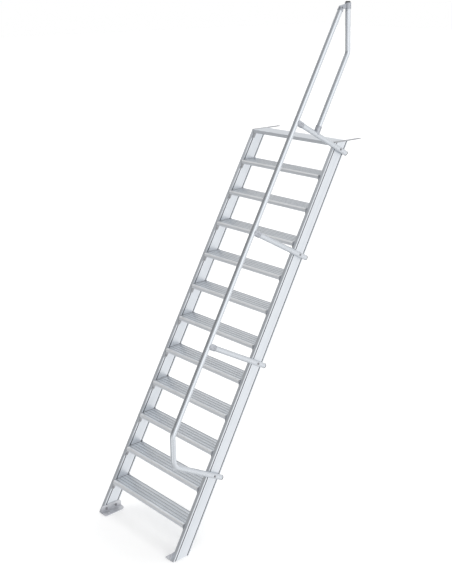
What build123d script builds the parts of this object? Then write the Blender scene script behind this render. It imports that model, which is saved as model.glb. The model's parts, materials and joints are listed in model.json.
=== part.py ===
from build123d import *
from math import cos, radians, sin, tan
import os

# Overall layout, in millimetres and degrees
slope = 60.0
riser = 250.0
tread_count = 11
clear_width = 962.0
seat_gap = 0.2

# Stringer, a hollow extrusion with screw channels in both of its sides
stringer_depth = 128.0
stringer_width = 31.0
stringer_wall = 2.5
stringer_corner = 1.5
channel_width = 6.0
channel_depth = 8.0
channel_edge = 16.0

# Tread, an open-bottomed extrusion with a hollow nose and raised ribs
tread_depth = 160.0
nose_overhang = 20.0
nose_height = 33.0
nose_width = 26.0
nose_top_radius = 9.0
nose_bottom_chamfer = 3.0
square_nose_chamfer = 1.5
deck_wall = 3.0
tread_wall = 2.5
rear_leg_height = 30.0
rear_lip = 12.0
rib_height = 2.6
rib_base = 7.0
rib_crest = 3.6
rib_root = 0.6
rib_spaces = 5
first_rib = 8.0

# Tread end plate, with a tongue down the front screw channel
end_plate = 4.0
end_plate_drop = 36.0
end_plate_margin = 1.0
tongue_front = 5.0
tongue_rear = 29.0
tongue_drop = 76.0
tongue_corner = 5.0

# Foot, an angle with a floor leg and an upright leg
foot_wall = 5.0
foot_length = 190.0
foot_front_reach = 1.0
foot_floor_leg = 71.0
foot_upright_leg = 57.0
foot_upright_corner = 25.0
foot_front_corner = 7.0
foot_rear_corner = 42.0
anchor_radius = 6.5
anchor_spacing = 96.0
anchor_edge = 39.0
foot_bolt_radius = 5.5
foot_bolt_spacing = 90.0
foot_bolt_height = 26.0

# Landing lug on the top of each stringer
lug_wall = 5.0
lug_reach = 155.0
lug_corner = 6.0
lug_hole_radius = 5.5
lug_hole_spacing = 60.0
lug_hole_end = 22.0
lug_root_margin = 0.5

# Handrail
tube_radius = 21.2
tube_wall = 2.0
handrail_height = 1000.0
handrail_front = 25.0
handrail_bend = 80.0
arm_pitch = 910.0
lower_arm_station = 696.0
arm_count = 3
arm_rear_inset = 2.0
rail_pin_height = 4062.0
return_rail_gap = 241.0
return_bend = 80.0

# Rail fittings
socket_wall = 3.5
socket_length = 48.0
ear_width = 14.0
ear_radius = 17.0
ear_rise = 16.0
cheek_wall = 6.0
knuckle_rim = 8.0
knuckle_rim_height = 2.5
knuckle_stem = 30.0
knuckle_bolt_radius = 4.2
pin_to_rail_end = 28.0
collar_span = 75.0
collar_drop = 12.0
collar_rise = 38.0
cap_height = 10.0
cap_inset = 1.0
cap_chamfer = 4.0
plug_crown = 9.0
plug_chamfer = 3.0
plug_depth = 14.0

# Derived sizes
run_cos = cos(radians(slope))
run_sin = sin(radians(slope))
going = riser / tan(radians(slope))
stair_height = (tread_count + 1) * riser
half_width = clear_width / 2
stringer_outer = half_width + stringer_width
stringer_middle = half_width + stringer_width / 2
stringer_rear = stringer_depth / run_sin
stringer_top = stair_height - lug_wall
tread_half_length = half_width - end_plate - 2 * seat_gap
foot_middle_y = foot_length / 2 - foot_front_reach
foot_middle_x = half_width - seat_gap - foot_floor_leg / 2
rail_x = stringer_outer + tube_radius + seat_gap
nosing_depth = (going - nose_overhang) * run_sin - riser * run_cos
rail_depth = nosing_depth - handrail_height * run_cos + tube_radius
return_depth = rail_depth + return_rail_gap
seat_radius = tube_radius + seat_gap
sleeve_radius = seat_radius + socket_wall
bore_radius = tube_radius - tube_wall - seat_gap
arm_rear = stringer_depth - arm_rear_inset

# The row's origin lies under the middle of the left foot
row_origin = Vector(-foot_middle_x, foot_middle_y, 0)

os.makedirs("parts", exist_ok=True)


def save(name, shape):
    """Moves a piece from the stair's middle line to the row's origin and writes it."""
    moved = shape.moved(Location(-row_origin))
    export_step(moved, f"parts/{name}.step")


def on_slope(station, depth, x=0.0):
    """A point at a distance up the slope and a depth behind the stringers' front face."""
    y = station * run_cos + depth * run_sin
    z = station * run_sin - depth * run_cos
    return Vector(x, y, z)


def side_plate(outline, x_inner, thickness):
    """Extrudes a face drawn in Y and Z from x_inner towards +X."""
    return extrude(Plane.YZ.offset(x_inner) * outline, thickness, dir=(1, 0, 0))


# Stringers
def stringer_section():
    """The profile across a stringer, with its front face on Y = 0."""
    section = Pos(0, stringer_depth / 2) * Rectangle(stringer_width, stringer_depth)
    section = fillet(section.vertices(), stringer_corner)
    chamber_width = stringer_width - 2 * stringer_wall
    to_channel = channel_edge - channel_width / 2 - stringer_wall
    past_channel = channel_edge + channel_width / 2 + stringer_wall
    edge_height = to_channel - stringer_wall
    middle_height = stringer_depth - 2 * past_channel
    section -= Pos(0, stringer_depth / 2) * Rectangle(chamber_width, middle_height)
    for edge, inward in ((0, 1), (stringer_depth, -1)):
        edge_middle = edge + inward * (stringer_wall + edge_height / 2)
        section -= Pos(0, edge_middle) * Rectangle(chamber_width, edge_height)
        for face in (-1, 1):
            channel = Rectangle(2 * channel_depth, channel_width)
            section -= Pos(face * stringer_width / 2, edge + inward * channel_edge) * channel
    return section


def stringer(side):
    across = Plane(origin=(side * stringer_middle, 0, 0), x_dir=(1, 0, 0), z_dir=(0, run_cos, run_sin))
    length = stair_height / run_sin + 2 * stringer_depth
    bar = extrude(across.offset(-stringer_depth) * stringer_section(), length)
    room = Box(4 * clear_width, 4 * stair_height, stringer_top, align=(Align.CENTER, Align.CENTER, Align.MIN))
    return bar & room


save("stringer_left", stringer(-1))
save("stringer_right", stringer(1))


# Treads
def tread_section(ribbed):
    """The profile of a tread, with a rounded nose and ribs or with a square nose and a smooth deck."""
    nose_tall = nose_height - rib_height
    nose = Pos(nose_width / 2, nose_tall / 2 - nose_height) * Rectangle(nose_width, nose_tall)
    front_edge = nose.vertices().group_by(Axis.X)[0].sort_by(Axis.Y)
    nose = fillet(front_edge[1], nose_top_radius) if ribbed else chamfer(front_edge[1], square_nose_chamfer)
    nose = chamfer(nose.vertices().group_by(Axis.Y)[0].sort_by(Axis.X)[0], nose_bottom_chamfer)
    hollow = Pos(nose_width / 2, nose_tall / 2 - nose_height)
    hollow *= Rectangle(nose_width - 2 * tread_wall, nose_tall - 2 * tread_wall)
    hollow_front = hollow.vertices().group_by(Axis.X)[0].sort_by(Axis.Y)
    hollow = chamfer(hollow_front[1], nose_top_radius - tread_wall)
    deck_length = tread_depth - nose_width / 2
    deck = Pos(tread_depth - deck_length / 2, -rib_height - deck_wall / 2) * Rectangle(deck_length, deck_wall)
    leg_tall = rear_leg_height - rib_height
    leg = Pos(tread_depth - tread_wall / 2, leg_tall / 2 - rear_leg_height) * Rectangle(tread_wall, leg_tall)
    lip = Pos(tread_depth - rear_lip / 2, tread_wall / 2 - rear_leg_height) * Rectangle(rear_lip, tread_wall)
    section = nose + deck + leg + lip - hollow
    if ribbed:
        pitch = (tread_depth - first_rib - rib_base / 2) / rib_spaces
        for index in range(rib_spaces + 1):
            section += rib(first_rib + index * pitch)
    return section


def rib(middle):
    points = [
        (middle - rib_base / 2, -rib_height - rib_root),
        (middle + rib_base / 2, -rib_height - rib_root),
        (middle + rib_crest / 2, 0),
        (middle - rib_crest / 2, 0),
    ]
    return make_face(Polyline(*points, close=True))


def tread(ribbed):
    return side_plate(tread_section(ribbed), -tread_half_length, 2 * tread_half_length)


def tread_place(number):
    """The top front corner of a tread's nose."""
    return Location((0, number * going - nose_overhang, number * riser))


ribbed_tread = tread(True)
for number in range(1, tread_count + 1):
    save(f"tread_{number:02d}", ribbed_tread.moved(tread_place(number)))
smooth_tread = Pos(0, 0, rib_height) * tread(False)
save("top_tread", smooth_tread.moved(tread_place(tread_count + 1)))


# Tread end plates, one at each end of every tread
def beside_stringer(depth, drop):
    """A point in a tread's own Y and Z, at a depth in the stringer and a drop below the tread."""
    return (nose_overhang - drop / tan(radians(slope)) + depth / run_sin, -drop)


def end_plate_face():
    rear_depth = stringer_depth - end_plate_margin
    front_drop = (nose_overhang + end_plate_margin + tongue_front / run_sin) * tan(radians(slope))
    points = [
        (-end_plate_margin, 0),
        beside_stringer(rear_depth, 0),
        beside_stringer(rear_depth, end_plate_drop),
        beside_stringer(tongue_rear, end_plate_drop),
        beside_stringer(tongue_rear, tongue_drop),
        beside_stringer(tongue_front, tongue_drop),
        beside_stringer(tongue_front, front_drop),
    ]
    face = make_face(Polyline(*points, close=True))
    nose_top = face.vertices().group_by(Axis.Y)[-1].sort_by(Axis.X)[0]
    face = fillet(nose_top, nose_top_radius)
    return chamfer(face.vertices().group_by(Axis.Y)[0], tongue_corner)


right_end = side_plate(end_plate_face(), half_width - seat_gap - end_plate, end_plate)
both_ends = right_end + mirror(right_end, about=Plane.YZ)
for number in range(1, tread_count + 1):
    save(f"tread_ends_{number:02d}", both_ends.moved(tread_place(number)))
save("top_tread_ends", both_ends.moved(tread_place(tread_count + 1)))


# Feet
def foot(side):
    upright = Pos(foot_middle_y, foot_upright_leg / 2) * Rectangle(foot_length, foot_upright_leg)
    upright = fillet(upright.vertices().group_by(Axis.Y)[-1], foot_upright_corner)
    for end in (-1, 1):
        place = Pos(foot_middle_y + end * foot_bolt_spacing / 2, foot_bolt_height)
        upright -= place * Circle(foot_bolt_radius)
    wall = side_plate(upright, half_width - seat_gap - foot_wall, foot_wall)
    floor = Pos(foot_middle_x, foot_middle_y) * Rectangle(foot_floor_leg, foot_length)
    floor = fillet(floor.vertices().group_by(Axis.X)[0].sort_by(Axis.Y)[0], foot_front_corner)
    floor = fillet(floor.vertices().group_by(Axis.X)[0].sort_by(Axis.Y)[-1], foot_rear_corner)
    for end in (-1, 1):
        place = Pos(half_width - foot_wall - anchor_edge, foot_middle_y + end * anchor_spacing / 2)
        floor -= place * Circle(anchor_radius)
    angle = wall + extrude(floor, foot_wall)
    return angle if side > 0 else mirror(angle, about=Plane.YZ)


save("foot_left", foot(-1))
save("foot_right", foot(1))


# Lugs that lie on the landing and hold the stair to it
def landing_lug(side):
    front = stringer_top / tan(radians(slope))
    rear = front + stringer_rear + lug_reach
    length = rear - front
    bar = Pos(side * stringer_middle, front + length / 2) * Rectangle(stringer_width, length)
    bar = fillet(bar.vertices().group_by(Axis.Y)[-1], lug_corner)
    for index in range(2):
        bar -= Pos(side * stringer_middle, rear - lug_hole_end - index * lug_hole_spacing) * Circle(lug_hole_radius)
    lug = extrude(bar, lug_wall)
    root = stringer_rear + lug_root_margin
    relief = Pos(side * stringer_middle, front + root / 2, seat_gap / 2) * Box(stringer_width, root, seat_gap)
    return Pos(0, 0, stringer_top) * (lug - relief)


save("landing_lug_left", landing_lug(-1))
save("landing_lug_right", landing_lug(1))


# Handrail tubes
slope_way = Vector(0, run_cos, run_sin)
rear_way = Vector(0, run_sin, -run_cos)
up_way = Vector(0, 0, 1)
across_way = Vector(1, 0, 0)


def rod(start, way, length, radius):
    return extrude(Plane(origin=start, z_dir=way) * Circle(radius), length)


def sleeve(start, way, length):
    return rod(start, way, length, sleeve_radius) - rod(start, way, length, seat_radius)


def bent_tube(points, bend):
    path = FilletPolyline(*points, radius=bend)
    start = Plane(origin=path @ 0, z_dir=path % 0)
    ring = start * (Circle(tube_radius) - Circle(tube_radius - tube_wall))
    return sweep(ring, path=path)


def straight_tube(start, end):
    way = (end - start).normalized()
    length = (end - start).length
    return rod(start, way, length, tube_radius) - rod(start, way, length, tube_radius - tube_wall)


rail_pin = on_slope((rail_pin_height + rail_depth * run_cos) / run_sin, rail_depth, rail_x)
rail_end = rail_pin - slope_way * pin_to_rail_end
lower_bend_depth = (handrail_front - lower_arm_station * run_cos) / run_sin
upper_bend_station = (handrail_front - rail_depth * run_sin) / run_cos
rail_points = [
    on_slope(lower_arm_station, arm_rear, rail_x),
    on_slope(lower_arm_station, lower_bend_depth, rail_x),
    on_slope(upper_bend_station, rail_depth, rail_x),
    rail_end,
]
save("handrail", bent_tube(rail_points, handrail_bend))

arm_names = ["rail_arm_low", "rail_arm_middle", "rail_arm_top"]
arm_stations = [lower_arm_station + (index + 1) * arm_pitch for index in range(arm_count)]
for name, station in zip(arm_names, arm_stations):
    arm_start = on_slope(station, rail_depth + sleeve_radius, rail_x)
    arm_end = on_slope(station, arm_rear, rail_x)
    save(name, straight_tube(arm_start, arm_end))

return_top = rail_pin + Vector(0, collar_span, collar_rise)
return_corner_station = (return_top.Y - return_depth * run_sin) / run_cos
return_points = [
    on_slope(arm_stations[-1] + sleeve_radius, return_depth, rail_x),
    on_slope(return_corner_station, return_depth, rail_x),
    return_top,
]
save("return_rail", bent_tube(return_points, return_bend))


# Sockets that join an arm to the rail it carries
def saddle_socket(centre, arm_way, rail_way):
    """A sleeve round the end of an arm, hollowed where it lies against the rail at its centre."""
    rail_room = rod(centre - rail_way * 2 * sleeve_radius, rail_way, 4 * sleeve_radius, seat_radius)
    return sleeve(centre, arm_way, seat_radius + socket_length) - rail_room


arm_roots = [on_slope(station, rail_depth, rail_x) for station in arm_stations]
save("rail_sockets", Compound([saddle_socket(root, rear_way, slope_way) for root in arm_roots]))
return_root = on_slope(arm_stations[-1], return_depth, rail_x)
save("return_rail_socket", saddle_socket(return_root, slope_way, rear_way))


# Hinged joint that ties the rail's upper end to the top of the return rail
def ear(root, x_start, thickness):
    """A flat link from root to a rounded eye about the rail's pin."""
    way = (rail_pin - root).normalized()
    length = (rail_pin - root).length
    plane = Plane(origin=Vector(x_start, rail_pin.Y, rail_pin.Z), x_dir=way, z_dir=across_way)
    face = Circle(ear_radius) + Pos(-length / 2, 0) * Rectangle(length, 2 * ear_radius)
    return extrude(plane * (face - Circle(knuckle_bolt_radius)), thickness)


def collar():
    length = collar_drop + collar_rise
    start = return_top - up_way * length
    root = Vector(rail_x, return_top.Y, rail_pin.Z + ear_rise)
    link = ear(root, rail_x - ear_width / 2, ear_width)
    ring = sleeve(start, up_way, length)
    return ring + (link - rod(start, up_way, length, seat_radius))


def knuckle():
    stem = rod(rail_end - slope_way * knuckle_stem, slope_way, knuckle_stem + seat_gap, bore_radius)
    rim_start = rail_end + slope_way * seat_gap
    rim = rod(rim_start, slope_way, knuckle_rim, tube_radius + knuckle_rim_height)
    root = rim_start + slope_way * knuckle_rim / 2
    cheek_start = ear_width / 2 + seat_gap
    right_cheek = ear(root, rail_x + cheek_start, cheek_wall)
    left_cheek = ear(root, rail_x - cheek_start - cheek_wall, cheek_wall)
    return stem + rim + right_cheek + left_cheek


save("top_collar", collar())
save("rail_knuckle", knuckle())


# Black cap on the return rail and plugs in the rear ends of the arms
def tube_plug(end, way, crown_height, crown_radius, edge, depth):
    """A chamfered crown over a tube's end, with a stem inside it."""
    crown = rod(end + way * seat_gap, way, crown_height, crown_radius)
    outer_rim = crown.edges().filter_by(GeomType.CIRCLE).sort_by(lambda e: (e.center() - end).dot(way))[-1]
    crown = chamfer(outer_rim, edge)
    return crown + rod(end - way * depth, way, depth + seat_gap, bore_radius)


save("top_cap", tube_plug(return_top, up_way, cap_height, tube_radius - cap_inset, cap_chamfer, plug_depth))
arm_ends = [on_slope(station, arm_rear, rail_x) for station in [lower_arm_station] + arm_stations]
plugs = [tube_plug(end, rear_way, plug_crown, tube_radius, plug_chamfer, plug_depth) for end in arm_ends]
save("arm_plugs", Compound(plugs))
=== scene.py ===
import json
import math
import bpy
import numpy as np
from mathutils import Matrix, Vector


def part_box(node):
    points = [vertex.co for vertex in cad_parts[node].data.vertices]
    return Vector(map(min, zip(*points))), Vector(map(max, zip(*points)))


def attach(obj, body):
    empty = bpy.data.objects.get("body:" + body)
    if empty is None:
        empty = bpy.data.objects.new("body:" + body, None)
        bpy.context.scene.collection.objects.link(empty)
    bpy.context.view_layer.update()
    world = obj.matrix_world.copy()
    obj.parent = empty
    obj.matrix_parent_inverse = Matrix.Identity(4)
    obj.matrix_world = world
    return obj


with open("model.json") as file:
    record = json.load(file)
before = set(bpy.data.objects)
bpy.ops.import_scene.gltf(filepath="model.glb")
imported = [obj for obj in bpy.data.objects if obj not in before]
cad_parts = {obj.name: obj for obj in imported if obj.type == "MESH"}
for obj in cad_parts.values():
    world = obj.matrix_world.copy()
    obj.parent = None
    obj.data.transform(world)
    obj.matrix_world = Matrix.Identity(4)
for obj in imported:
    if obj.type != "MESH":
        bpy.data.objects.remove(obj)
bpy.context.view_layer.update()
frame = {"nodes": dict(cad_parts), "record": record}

nodes = frame["nodes"]
print("stair: frame loaded,", len(nodes), "nodes")

# The stair's pitch in degrees and its even steps in metres
stairLook = dict(slope=60, riser=0.25, treads=12)
slope = math.radians(stairLook["slope"])
goingStep = stairLook["riser"] / math.tan(slope)
climb = np.array([0, math.cos(slope), math.sin(slope)])      # up along the stringers
inward = np.array([0, math.sin(slope), -math.cos(slope)])    # from the front face to the rear one
across = np.array([1.0, 0, 0])
upward = np.array([0, 0, 1.0])


# Places on the stair, in metres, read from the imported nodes
def middleOf(name):
    low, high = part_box(name)
    return (np.array(low) + np.array(high)) / 2


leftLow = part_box("stringer_left")[0]
rightLow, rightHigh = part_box("stringer_right")
railLow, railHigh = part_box("handrail")
stairMiddle = np.array([(leftLow.x + rightHigh.x) / 2, leftLow.y, 0])
halfWidth = rightLow.x - stairMiddle[0]
railRadius = (railHigh.x - railLow.x) / 2
railX = middleOf("handrail")[0] - stairMiddle[0]


def onSlope(station, depth, x):
    return stairMiddle + climb * station + inward * depth + across * x


def slopePlace(name):
    # how far up the slope and how deep behind the stringers' front a node's middle lies
    offset = middleOf(name) - stairMiddle
    return float(offset @ climb), float(offset @ inward)


# Mesh makers: every form is a grid of rows round an axis, worked out as whole arrays
def ringFaces(rows, around):
    # a quad between each two neighbours of each two rows, and a flat face on the first and last row
    ring = np.arange(around)
    rowStart = np.arange(rows - 1)[:, None] * around
    corner = rowStart + ring
    nextCorner = rowStart + np.roll(ring, -1)
    quads = np.stack([corner, nextCorner, nextCorner + around, corner + around], axis=-1)
    faces = quads.reshape(-1, 4).tolist()
    faces.append(ring[::-1].tolist())
    faces.append(((rows - 1) * around + ring).tolist())
    return faces


def turnedForm(rows, around):
    # Each row is (radius, height, hexness). The radius at an angle is the round radius blended
    # with that of a hexagon of the same inner circle: radius * ((1 - h) + h / cos(angle to the flat)).
    sixth = np.pi / 3    # the angle that one flat of the hexagon takes
    angle = np.arange(around) * 2 * np.pi / around
    toFlat = (angle + sixth / 2) % sixth - sixth / 2
    radius, height, hexness = np.array(rows, float).T[:, :, None]
    reach = radius * ((1 - hexness) + hexness / np.cos(toFlat))
    points = np.stack([reach * np.cos(angle), reach * np.sin(angle), height + 0 * reach], axis=-1)
    return points.reshape(-1, 3), ringFaces(len(rows), around)


def facing(way, turn=0.0):
    # the three axes of a form whose height runs along way, turned about it in radians
    way = np.array(way, float) / np.linalg.norm(way)
    nearlyUpright = 0.9
    side = np.cross(upward if abs(way[2]) < nearlyUpright else across, way)
    side = side / np.linalg.norm(side)
    back = np.cross(way, side)
    c, s = math.cos(turn), math.sin(turn)
    return np.stack([side * c + back * s, back * c - side * s, way])


# Edges that turn by more than this stay sharp, in radians
sharpEdges = dict(fasteners=0.6, nodes=math.radians(28))


def addPiece(name, copies, material):
    # copies is a list of (form, axes, place): points = form @ axes + place
    points, faces, first = [], [], 0
    for (form, formFaces), axes, place in copies:
        points.append(form @ axes + place)
        faces += [[first + corner for corner in face] for face in formFaces]
        first += len(form)
    mesh = bpy.data.meshes.new(name)
    mesh.from_pydata(np.concatenate(points).tolist(), [], faces)
    mesh.update()
    piece = bpy.data.objects.new(name, mesh)
    bpy.context.scene.collection.objects.link(piece)
    mesh.materials.append(material)
    mesh.shade_smooth()
    mesh.set_sharp_from_angle(angle=sharpEdges["fasteners"])
    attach(piece, "root")


# Node makers
def feed(tree, value, socket):
    # another node's output is linked to the socket, and a number or colour is set on it
    if isinstance(value, bpy.types.NodeSocket):
        tree.links.new(value, socket)
    else:
        socket.default_value = value


def addNode(tree, kind, settings=None, **values):
    # settings are the node's own fields, and values go to the inputs of their name
    node = tree.nodes.new(kind)
    for key, value in (settings or {}).items():
        setattr(node, key, value)
    for key, value in values.items():
        feed(tree, value, node.inputs[key])
    return node


def mathNode(tree, operation, *values):
    node = addNode(tree, "ShaderNodeMath", {"operation": operation})
    for index, value in enumerate(values):
        feed(tree, value, node.inputs[index])
    return node.outputs[0]


def vectorNode(tree, operation, *values):
    node = addNode(tree, "ShaderNodeVectorMath", {"operation": operation})
    for index, value in enumerate(values):
        feed(tree, value, node.inputs[index])
    return node.outputs["Value" if operation == "DOT_PRODUCT" else "Vector"]


def rangeNode(tree, value, start, end, low=0.0, high=1.0, curve="LINEAR"):
    # low where the value is at start, high where it is at end, and no further
    limits = {"From Min": start, "From Max": end, "To Min": low, "To Max": high}
    node = addNode(tree, "ShaderNodeMapRange", {"interpolation_type": curve}, Value=value, **limits)
    return node.outputs[0]


def bandNode(tree, value, middle, half, soft):
    # 1 where the value lies within half of the middle, falling to 0 over soft
    away = mathNode(tree, "ABSOLUTE", mathNode(tree, "SUBTRACT", value, middle))
    return rangeNode(tree, away, half, half + soft, 1.0, 0.0)


def mixNode(tree, factor, first, second):
    # a colour that is first where the factor is 0 and second where it is 1, with the mix's colour
    # inputs 6 and 7 and its colour output 2
    mix = addNode(tree, "ShaderNodeMix", {"data_type": "RGBA"}, Factor=factor)
    for index, colour in ((6, first), (7, second)):
        feed(tree, colour + (1.0,) if isinstance(colour, tuple) else colour, mix.inputs[index])
    return mix.outputs[2]


def newGroup(name, inputs, outputs):
    # inputs are (name, default), with None for a vector, and outputs are names of masks or tones
    group = bpy.data.node_groups.new(name, "ShaderNodeTree")
    for label, value in inputs:
        kind = "NodeSocketVector" if value is None else "NodeSocketFloat"
        socket = group.interface.new_socket(label, in_out="INPUT", socket_type=kind)
        if value is not None:
            socket.default_value = value
    for label in outputs:
        group.interface.new_socket(label, in_out="OUTPUT", socket_type="NodeSocketFloat")
    given = group.nodes.new("NodeGroupInput").outputs
    result = group.nodes.new("NodeGroupOutput").inputs
    return group, given, result


# Shader groups shared by the materials
drawnLook = dict(across=900.0, along=6.0, broadScale=0.06, fineShare=0.5)


def makeDrawnGrain():
    # fine lines along Z of the coordinates it gets: noise squeezed across and stretched along
    group, given, result = newGroup(
        "drawnGrain",
        [("Vector", None), ("Across", drawnLook["across"]), ("Along", drawnLook["along"])],
        ["Tone", "Height"])
    stretch = addNode(group, "ShaderNodeCombineXYZ", X=given["Across"], Y=given["Across"], Z=given["Along"])
    scaled = vectorNode(group, "MULTIPLY", given["Vector"], stretch.outputs[0])
    fine = addNode(group, "ShaderNodeTexNoise", Vector=scaled, Scale=1.0, Detail=4.0, Roughness=0.65)
    broad = addNode(group, "ShaderNodeTexNoise", Vector=scaled, Scale=drawnLook["broadScale"], Detail=2.0,
                    Roughness=0.5)
    broadPart = mathNode(group, "MULTIPLY", broad.outputs["Fac"], 1 - drawnLook["fineShare"])
    tone = mathNode(group, "MULTIPLY_ADD", fine.outputs["Fac"], drawnLook["fineShare"], broadPart)
    feed(group, tone, result["Tone"])
    feed(group, fine.outputs["Fac"], result["Height"])
    return group


marksLook = dict(smudgeScale=7.0, smudgeFrom=0.38, smudgeTo=0.68, scratchScale=40.0, scratchWidth=0.012,
                 warpScale=9.0, warp=0.12, sparseScale=14.0, sparseFrom=0.58, sparseTo=0.66)


def makeHandlingMarks():
    # broad smudges and short thin scratches, as masks from 0 to 1
    group, given, result = newGroup(
        "handlingMarks",
        [("Vector", None), ("Smudge Scale", marksLook["smudgeScale"]),
         ("Scratch Scale", marksLook["scratchScale"])],
        ["Smudge", "Scratch"])
    vector = given["Vector"]
    smudge = addNode(group, "ShaderNodeTexNoise", Vector=vector, Scale=given["Smudge Scale"], Detail=5.0,
                     Roughness=0.6, Distortion=0.4)
    spread = rangeNode(group, smudge.outputs["Fac"], marksLook["smudgeFrom"], marksLook["smudgeTo"])
    feed(group, spread, result["Smudge"])
    warp = addNode(group, "ShaderNodeTexNoise", Vector=vector, Scale=marksLook["warpScale"], Detail=1.0)
    bent = vectorNode(group, "MULTIPLY_ADD", warp.outputs["Color"], (marksLook["warp"],) * 3, vector)
    cells = addNode(group, "ShaderNodeTexVoronoi", {"feature": "DISTANCE_TO_EDGE"}, Vector=bent,
                    Scale=given["Scratch Scale"])
    thin = rangeNode(group, cells.outputs["Distance"], 0.0, marksLook["scratchWidth"], 1.0, 0.0)
    sparse = addNode(group, "ShaderNodeTexNoise", Vector=vector, Scale=marksLook["sparseScale"], Detail=0.0)
    kept = rangeNode(group, sparse.outputs["Fac"], marksLook["sparseFrom"], marksLook["sparseTo"])
    feed(group, mathNode(group, "MULTIPLY", thin, kept), result["Scratch"])
    return group


castLook = dict(pebble=700.0, slowScale=25.0)


def makeCastGrain():
    # an even fine pebble, for cast fittings and moulded plastic
    group, given, result = newGroup(
        "castGrain",
        [("Vector", None), ("Scale", castLook["pebble"])],
        ["Tone", "Height"])
    vector = given["Vector"]
    fine = addNode(group, "ShaderNodeTexNoise", Vector=vector, Scale=given["Scale"], Detail=3.0,
                   Roughness=0.55)
    slow = addNode(group, "ShaderNodeTexNoise", Vector=vector, Scale=castLook["slowScale"], Detail=3.0)
    feed(group, slow.outputs["Fac"], result["Tone"])
    feed(group, fine.outputs["Fac"], result["Height"])
    return group


# The screw channels' middles lie this far behind the stringers' front, and are this wide either way
channelLook = dict(front=0.016, rear=0.112, half=0.0036, soft=0.0002)


def makeChannelPaintedShade():
    # painted shade: the inside of the stringers' screw channels painted nearly black, as the shade of their
    # recess, found from the depth behind their front face
    group, given, result = newGroup(
        "channelPaintedShade",
        [("Vector", None), ("Front", channelLook["front"]), ("Rear", channelLook["rear"])],
        ["Mask"])
    depth = vectorNode(group, "DOT_PRODUCT", given["Vector"], tuple(inward))
    fromFront = mathNode(group, "SUBTRACT", depth, float(stairMiddle @ inward))
    front, rear = [bandNode(group, fromFront, given[label], channelLook["half"], channelLook["soft"])
                   for label in ("Front", "Rear")]
    feed(group, mathNode(group, "MAXIMUM", front, rear), result["Mask"])
    return group


# Bands of painted light and shade on a tread, in metres: a painted highlight on the crests of the ribs
# and on the top of the nose, painted shade on the rib flanks and a painted shadow on the valley in front
# of each rib. Crest and flank go by the height over a plane that lies lift below the tread's level, foot
# by the distance behind the last rib, and nose by the distance behind the first rib, which stands firstRib
# before the stringers' front. The nose's top starts noseDrop below the level.
ribLook = dict(pitch=0.0297, lift=0.004, noseDrop=0.012, firstRib=0.012,
               crest=dict(middle=0.0042, half=0.0004, soft=0.0003),
               flank=dict(middle=0.0026, half=0.0008, soft=0.0003),
               foot=dict(middle=0.0225, half=0.0018, soft=0.0022),
               nose=dict(middle=0.002, half=0.010, soft=0.005))


def makeRibShadeAndHighlight():
    # masks of painted light and shade: a painted highlight on the crests and painted shade on the flanks of
    # the ribs, found from the height above the last whole riser, and a painted shadow on the strip of
    # valley in front of each rib and a painted highlight on the top of the nose, found from how far back on
    # its own tread a point lies
    group, given, result = newGroup(
        "ribShadeAndHighlight",
        [("Vector", None), ("Riser", stairLook["riser"]), ("Going", goingStep),
         ("Rib Pitch", ribLook["pitch"])],
        ["Crest", "Flank", "Foot", "Nose"])
    parts = addNode(group, "ShaderNodeSeparateXYZ", Vector=given["Vector"])
    lifted = mathNode(group, "ADD", parts.outputs["Z"], ribLook["lift"])
    height = mathNode(group, "MODULO", lifted, given["Riser"])
    reached = mathNode(group, "ADD", parts.outputs["Z"], ribLook["noseDrop"])
    steps = mathNode(group, "FLOOR", mathNode(group, "DIVIDE", reached, given["Riser"]))
    lowestRib = float(stairMiddle[1]) - ribLook["firstRib"]
    fromLowestRib = mathNode(group, "SUBTRACT", parts.outputs["Y"], lowestRib)
    climbed = mathNode(group, "MULTIPLY", steps, given["Going"])
    back = mathNode(group, "SUBTRACT", fromLowestRib, climbed)
    behindRib = mathNode(group, "FLOORED_MODULO", back, given["Rib Pitch"])
    for label, value in (("Crest", height), ("Flank", height), ("Foot", behindRib), ("Nose", back)):
        feed(group, bandNode(group, value, **ribLook[label.lower()]), result[label])
    return group


drawnGrain, handlingMarks, castGrain = makeDrawnGrain(), makeHandlingMarks(), makeCastGrain()
channelPaintedShade, ribShadeAndHighlight = makeChannelPaintedShade(), makeRibShadeAndHighlight()


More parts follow.
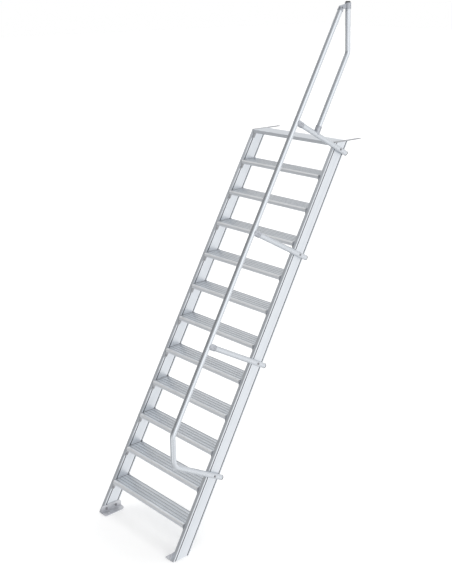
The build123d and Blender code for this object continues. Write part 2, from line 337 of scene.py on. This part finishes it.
# Finishes. Colours run from dark to light with the grain and from light to dark under smudges. A finish
# with along and across has drawn grain, one with pebble is cast. Zones are (group, mask, colour, amount).
finishBase = dict(turn=(0, 0, 0), toneFrom=0.3, toneTo=0.7, smudge=0.2, scratch=0.3, bright=(0.9, 0.9, 0.9),
                  bumpDepth=0.0002, zones=())
slopeTurn = (math.radians(90) - slope, 0, 0)    # turns the climb of the stair to the grain's own Z
acrossTurn = (0, math.radians(90), 0)           # and here the stair's width
finishes = {
    "stringer_aluminium": dict(
        metallic=0.85, dark=(0.64, 0.67, 0.71), light=(0.75, 0.78, 0.82), turn=slopeTurn, across=700.0,
        along=5.0, rough=(0.3, 0.4), bump=0.1, smudge=0.15,
        # the screw channels painted nearly black, as painted shade
        zones=[(channelPaintedShade, "Mask", (0.02, 0.02, 0.024), 1.0)]),
    "ribbed_tread": dict(
        metallic=0.85, dark=(0.70, 0.73, 0.77), light=(0.82, 0.85, 0.89), turn=acrossTurn, across=900.0,
        along=5.0, rough=(0.3, 0.42), bump=0.12,
        # painted shadow in the valley before each rib, painted shade on the rib flanks, painted highlights
        # on the nose and the rib crests
        zones=[(ribShadeAndHighlight, "Foot", (0.42, 0.44, 0.47), 0.6), (ribShadeAndHighlight, "Flank", (0.36, 0.38, 0.41), 0.7),
               (ribShadeAndHighlight, "Nose", (0.97, 0.98, 1.0), 0.8), (ribShadeAndHighlight, "Crest", (0.97, 0.99, 1.0), 1.0)]),
    "plain_deck": dict(
        metallic=0.85, dark=(0.60, 0.63, 0.67), light=(0.70, 0.73, 0.77), turn=acrossTurn, across=900.0,
        along=5.0, rough=(0.34, 0.44), bump=0.12),
    "end_plate_metal": dict(
        metallic=0.8, dark=(0.36, 0.37, 0.39), light=(0.48, 0.49, 0.51), pebble=500.0, rough=(0.45, 0.58),
        bump=0.2),
    "foot_metal": dict(
        metallic=0.8, dark=(0.57, 0.58, 0.61), light=(0.71, 0.72, 0.75), pebble=450.0, rough=(0.42, 0.56),
        bump=0.2, smudge=0.25),
    "lug_metal": dict(
        metallic=0.8, dark=(0.32, 0.33, 0.35), light=(0.44, 0.45, 0.47), pebble=500.0, rough=(0.4, 0.52),
        bump=0.18),
    "rail_tube": dict(
        metallic=0.85, dark=(0.59, 0.62, 0.66), light=(0.63, 0.66, 0.70), turn=slopeTurn, across=800.0,
        along=6.0, rough=(0.12, 0.19), bump=0.02, smudge=0.15, scratch=0.05),
    "rail_fitting": dict(
        metallic=0.8, dark=(0.40, 0.42, 0.46), light=(0.52, 0.54, 0.58), pebble=600.0, rough=(0.38, 0.5),
        bump=0.2),
    "plug_plastic": dict(
        metallic=0.0, dark=(0.045, 0.047, 0.05), light=(0.075, 0.078, 0.082), pebble=900.0,
        rough=(0.5, 0.62), bump=0.25, scratch=0.1, bright=(0.2, 0.2, 0.2)),
    "cap_plastic": dict(
        metallic=0.0, dark=(0.008, 0.008, 0.009), light=(0.018, 0.018, 0.02), pebble=900.0,
        rough=(0.45, 0.58), bump=0.25, scratch=0.1, bright=(0.15, 0.15, 0.15)),
}
boltLook = dict(metallic=0.9, dark=(0.30, 0.30, 0.32), light=(0.44, 0.44, 0.46), pebble=900.0,
                rough=(0.3, 0.42), bump=0.15, smudge=0.3)


def makeFinish(name, ownLook):
    look = {**finishBase, **ownLook}
    material = bpy.data.materials.new(name)
    material.use_nodes = True
    tree = material.node_tree
    shader = tree.nodes["Principled BSDF"]
    shader.inputs["Metallic"].default_value = look["metallic"]
    place = addNode(tree, "ShaderNodeTexCoord").outputs["Object"]
    turned = addNode(tree, "ShaderNodeMapping", Vector=place, Rotation=look["turn"]).outputs[0]
    if "along" in look:
        grain = addNode(tree, "ShaderNodeGroup", {"node_tree": drawnGrain}, Vector=turned,
                        Across=look["across"], Along=look["along"])
    else:
        grain = addNode(tree, "ShaderNodeGroup", {"node_tree": castGrain}, Vector=turned,
                        Scale=look["pebble"])
    marks = addNode(tree, "ShaderNodeGroup", {"node_tree": handlingMarks}, Vector=place)
    toned = rangeNode(tree, grain.outputs["Tone"], look["toneFrom"], look["toneTo"])
    colour = mixNode(tree, toned, look["dark"], look["light"])
    smudged = mathNode(tree, "MULTIPLY", marks.outputs["Smudge"], look["smudge"])
    colour = mixNode(tree, smudged, colour, look["dark"])
    scratched = mathNode(tree, "MULTIPLY", marks.outputs["Scratch"], look["scratch"])
    colour = mixNode(tree, scratched, colour, look["bright"])
    for groupTree, output, tone, amount in look["zones"]:
        zone = addNode(tree, "ShaderNodeGroup", {"node_tree": groupTree}, Vector=place)
        colour = mixNode(tree, mathNode(tree, "MULTIPLY", zone.outputs[output], amount), colour, tone)
    feed(tree, colour, shader.inputs["Base Color"])
    rough = rangeNode(tree, marks.outputs["Smudge"], 0.0, 1.0, *look["rough"])
    feed(tree, rough, shader.inputs["Roughness"])
    bump = addNode(tree, "ShaderNodeBump", Strength=look["bump"], Distance=look["bumpDepth"],
                   Height=grain.outputs["Height"])
    feed(tree, bump.outputs[0], shader.inputs["Normal"])
    return material


materials = {slotName: makeFinish(slotName, look) for slotName, look in finishes.items()}
boltSteel = makeFinish("bolt_steel", boltLook)

slotOf = {part["node"]: part["material_slot"] for part in frame["record"]["subparts"]}
for nodeName, nodeObject in nodes.items():
    nodeObject.data.materials.clear()
    nodeObject.data.materials.append(materials[slotOf[nodeName]])
    nodeObject.data.shade_smooth()
    nodeObject.data.set_sharp_from_angle(angle=sharpEdges["nodes"])
print("stair: finishes on", len(nodes), "nodes")


# Fastener forms, all closed, standing on their own seat at height 0, as rows from the seat upwards
boltSides, screwSides = 48, 36    # points round a hexagon bolt and round a socket screw


def hexHead(flats, height, washer, washerThickness):
    # a washer with an eased rim, six flats, and their corners eased into a round top
    inner, top = flats / 2, washerThickness + height
    rows = [(washer, 0, 0), (washer, washerThickness * 0.7, 0), (washer * 0.97, washerThickness, 0),
            (inner, washerThickness, 1), (inner, washerThickness + height * 0.78, 1),
            (inner * 0.99, washerThickness + height * 0.93, 0.35), (inner * 0.93, top, 0)]
    return turnedForm(rows, boltSides)


def hexNut(flats, height, bolt, stub):
    # six flats eased at both ends, and the bolt's end standing out of them
    inner = flats / 2
    rows = [(inner * 0.95, 0, 0), (inner, height * 0.12, 0.6), (inner, height * 0.2, 1),
            (inner, height * 0.8, 1), (inner, height * 0.9, 0.5), (inner * 0.94, height, 0),
            (bolt, height, 0), (bolt, height + stub * 0.7, 0), (bolt * 0.8, height + stub, 0)]
    return turnedForm(rows, boltSides)


def socketScrew(radius, height, socket):
    # a low round head with a hexagon socket sunk in its middle
    rows = [(radius, 0, 0), (radius, height * 0.35, 0), (radius * 0.94, height * 0.68, 0),
            (radius * 0.8, height * 0.92, 0), (radius * 0.62, height, 0), (socket * 1.08, height, 1),
            (socket, height * 0.92, 1), (socket, height * 0.25, 1)]
    return turnedForm(rows, screwSides)


# Screws through each tread's end plates into the stringers' channels, each seat at a drop below the
# tread's top and a depth behind the stringers' front
treadScrews = dict(form=dict(radius=0.0066, height=0.0034, socket=0.0027),
                   seats=((0.062, 0.016), (0.020, 0.112)), plate=0.004, gap=0.0002, turn=0.7)


def addTreadScrews():
    form = socketScrew(**treadScrews["form"])
    plateFace = halfWidth - treadScrews["plate"] - treadScrews["gap"]
    screws = []
    for number in range(1, stairLook["treads"] + 1):
        axes = {side: facing(across * -side, number * treadScrews["turn"]) for side in (-1, 1)}
        for side in (-1, 1):
            for drop, depth in treadScrews["seats"]:
                height = number * stairLook["riser"] - drop
                station = (height + depth * math.cos(slope)) / math.sin(slope)
                screws.append((form, axes[side], onSlope(station, depth, side * plateFace)))
    addPiece("tread_end_screws", screws, boltSteel)
    print("stair: tread screws", len(screws))


# Bolts through each foot's upright leg, seen on its inner face
footBolts = dict(head=dict(flats=0.016, height=0.0064, washer=0.0115, washerThickness=0.002), spacing=0.09,
                 up=0.026, wall=0.005, gap=0.0002, turn=0.3)


def addFootBolts():
    form = hexHead(**footBolts["head"])
    legFace = halfWidth - footBolts["wall"] - footBolts["gap"]
    bolts = []
    for side, footName in ((-1, "foot_left"), (1, "foot_right")):
        footY = middleOf(footName)[1]
        for end in (-1, 1):
            place = np.array([stairMiddle[0] + side * legFace, footY + end * footBolts["spacing"] / 2,
                              footBolts["up"]])
            bolts.append((form, facing(across * -side, end * footBolts["turn"]), place))
    addPiece("foot_bolts", bolts, boltSteel)


# Bolts through each arm into the side of the stringer. The handrail's own arm is as far below the
# lowest straight arm as that is below the next.
armBolts = dict(head=dict(flats=0.013, height=0.0055, washer=0.0095, washerThickness=0.0022), depth=0.0438,
                sunk=0.0016, turn=0.4)
armStations = [slopePlace(name)[0] for name in ("rail_arm_low", "rail_arm_middle", "rail_arm_top")]


def addArmBolts():
    form = hexHead(**armBolts["head"])
    headX = railX + railRadius - armBolts["sunk"]
    lowest = 2 * armStations[0] - armStations[1]
    bolts = [(form, facing(across, index * armBolts["turn"]), onSlope(station, armBolts["depth"], headX))
             for index, station in enumerate([lowest] + armStations)]
    addPiece("arm_bolts", bolts, boltSteel)


# Grub screws in the sockets, facing outwards, each at a distance from the axis of the rail it holds
grubScrews = dict(form=dict(radius=0.0036, height=0.0016, socket=0.0017), wall=0.0037, sunk=0.0002,
                  along=(0.032, 0.046, 0.060), armRear=0.126, turn=0.3)
grubForm = socketScrew(**grubScrews["form"])
grubAxes = facing(across, grubScrews["turn"])
grubReach = railRadius + grubScrews["wall"] - grubScrews["sunk"]


def addSocketScrews():
    armMiddle = slopePlace("rail_arm_low")[1]
    railDepth = 2 * armMiddle - grubScrews["armRear"] - railRadius - grubScrews["wall"]
    sockets = [(station, railDepth, inward) for station in armStations]
    sockets.append((armStations[-1], slopePlace("return_rail_socket")[1], climb))
    screws = [(grubForm, grubAxes, onSlope(station, depth, railX + grubReach) + way * distance)
              for station, depth, way in sockets for distance in grubScrews["along"]]
    addPiece("socket_screws", screws, boltSteel)


# Bolt and nut through the joint at the rail's top, and two screws in its collar at a rise over the bolt
jointBolt = dict(head=dict(flats=0.011, height=0.0046, washer=0.0078, washerThickness=0.0014), headTurn=0.2,
                 nut=dict(flats=0.011, height=0.00552, bolt=0.0036, stub=0.003), nutTurn=0.5, cheek=0.0132,
                 pinHeight=4.062, pinBefore=0.075, collarScrews=(-0.001, 0.014))


def addJointBolts():
    capX, capY = middleOf("top_cap")[:2]
    pin = np.array([capX, capY - jointBolt["pinBefore"], jointBolt["pinHeight"]])
    cheek = across * jointBolt["cheek"]
    bolts = [(hexHead(**jointBolt["head"]), facing(across, jointBolt["headTurn"]), pin + cheek),
             (hexNut(**jointBolt["nut"]), facing(-across, jointBolt["nutTurn"]), pin - cheek)]
    for rise in jointBolt["collarScrews"]:
        place = np.array([capX + grubReach, capY, jointBolt["pinHeight"] + rise])
        bolts.append((grubForm, grubAxes, place))
    addPiece("joint_bolts", bolts, boltSteel)


addTreadScrews()
addFootBolts()
addArmBolts()
addSocketScrews()
addJointBolts()
print("stair: bolts done")


# Camera at the photograph's angle, in metres, degrees and millimetres of lens
cameraLook = dict(place=(6.4804, -3.9304, 4.3), yaw=45.028, pitch=-13.35, lens=60.804, sensor=36,
                  shift=(-0.18, -0.14), far=200)
cameraData = bpy.data.cameras.new("stairCamera")
camera = bpy.data.objects.new("stairCamera", cameraData)
bpy.context.scene.collection.objects.link(camera)
camera.location = cameraLook["place"]
camera.rotation_euler = (math.radians(90 + cameraLook["pitch"]), 0, math.radians(cameraLook["yaw"]))
cameraData.sensor_width = cameraLook["sensor"]
cameraData.lens = cameraLook["lens"]
cameraData.shift_x, cameraData.shift_y = cameraLook["shift"]
cameraData.clip_end = cameraLook["far"]
bpy.context.scene.camera = camera

# Pale floor, a hair below the feet, that glows a little so that it meets the white air without a line
floorLook = dict(reach=60.0, drop=0.0005, shade=0.95, rough=0.95, glow=0.15)
reach = floorLook["reach"]
floorMesh = bpy.data.meshes.new("studioFloor")
floorCorners = [(-reach, -reach, 0), (reach, -reach, 0), (reach, reach, 0), (-reach, reach, 0)]
floorMesh.from_pydata(floorCorners, [], [(0, 1, 2, 3)])
floor = bpy.data.objects.new("studioFloor", floorMesh)
bpy.context.scene.collection.objects.link(floor)
floor.location.z = -floorLook["drop"]
floorFinish = bpy.data.materials.new("floorPaint")
floorFinish.use_nodes = True
floorShader = floorFinish.node_tree.nodes["Principled BSDF"]
floorShader.inputs["Base Color"].default_value = (floorLook["shade"],) * 3 + (1,)
floorShader.inputs["Roughness"].default_value = floorLook["rough"]
floorShader.inputs["Specular IOR Level"].default_value = 0.0
floorShader.inputs["Emission Color"].default_value = (1, 1, 1, 1)
floorShader.inputs["Emission Strength"].default_value = floorLook["glow"]
floorMesh.materials.append(floorFinish)
floor.visible_glossy = False

# The air is brightest behind the stair and to its right, and dim in front of it. From just above the
# horizon downwards it gains light again. Spots are (direction, spread in degrees, change of light).
# Seen directly the air is plain white.
airLook = dict(bright=(0.478, 0.797, 0.372), swing=0.9, low=0.35, high=1.0, below=0.28, belowFrom=0.15,
               belowTo=-0.35,
               spots=[((0.98, -0.12, 0.15), 38, 0.75), ((-0.96, 0.08, 0.20), 33, -0.42),
                      ((-0.69, 0.02, 0.72), 35, 0.75), ((-0.20, -0.80, 0.56), 30, -0.28),
                      ((0.25, -0.93, -0.27), 38, 0.5)])


def makeAir():
    world = bpy.data.worlds.new("studioAir")
    world.use_nodes = True
    air = world.node_tree
    direction = addNode(air, "ShaderNodeTexCoord").outputs["Generated"]
    towards = vectorNode(air, "DOT_PRODUCT", direction, airLook["bright"])
    fall = rangeNode(air, towards, -airLook["swing"], airLook["swing"], airLook["low"], airLook["high"])
    rise = addNode(air, "ShaderNodeSeparateXYZ", Vector=direction).outputs["Z"]
    below = rangeNode(air, rise, airLook["belowFrom"], airLook["belowTo"], 0.0, airLook["below"])
    strength = mathNode(air, "ADD", fall, below)
    for way, spread, change in airLook["spots"]:
        nearness = vectorNode(air, "DOT_PRODUCT", direction, way)
        edge = math.cos(math.radians(spread))
        spot = rangeNode(air, nearness, edge, 1.0, 0.0, change, "SMOOTHSTEP")
        strength = mathNode(air, "ADD", strength, spot)
    seen = addNode(air, "ShaderNodeMix", {"data_type": "FLOAT"}, A=strength, B=1.0,
                   Factor=addNode(air, "ShaderNodeLightPath").outputs["Is Camera Ray"])
    background = air.nodes["Background"]
    background.inputs["Color"].default_value = (1, 1, 1, 1)
    feed(air, seen.outputs[0], background.inputs["Strength"])
    return world


bpy.context.scene.world = makeAir()

# One very soft sun, from a direction in the frame, with its spread in degrees
sunLook = dict(fromWay=(0.62, 0.10, 0.78), power=1.0, spread=50)
sunData = bpy.data.lights.new("softSun", "SUN")
sunData.energy = sunLook["power"]
sunData.angle = math.radians(sunLook["spread"])
sun = bpy.data.objects.new("softSun", sunData)
bpy.context.scene.collection.objects.link(sun)
sunTurn = np.eye(4)
sunTurn[:3, :3] = facing(sunLook["fromWay"]).T
sun.matrix_world = sunTurn.tolist()
bpy.context.scene.view_settings.view_transform = "Standard"
print("stair: studio ready")
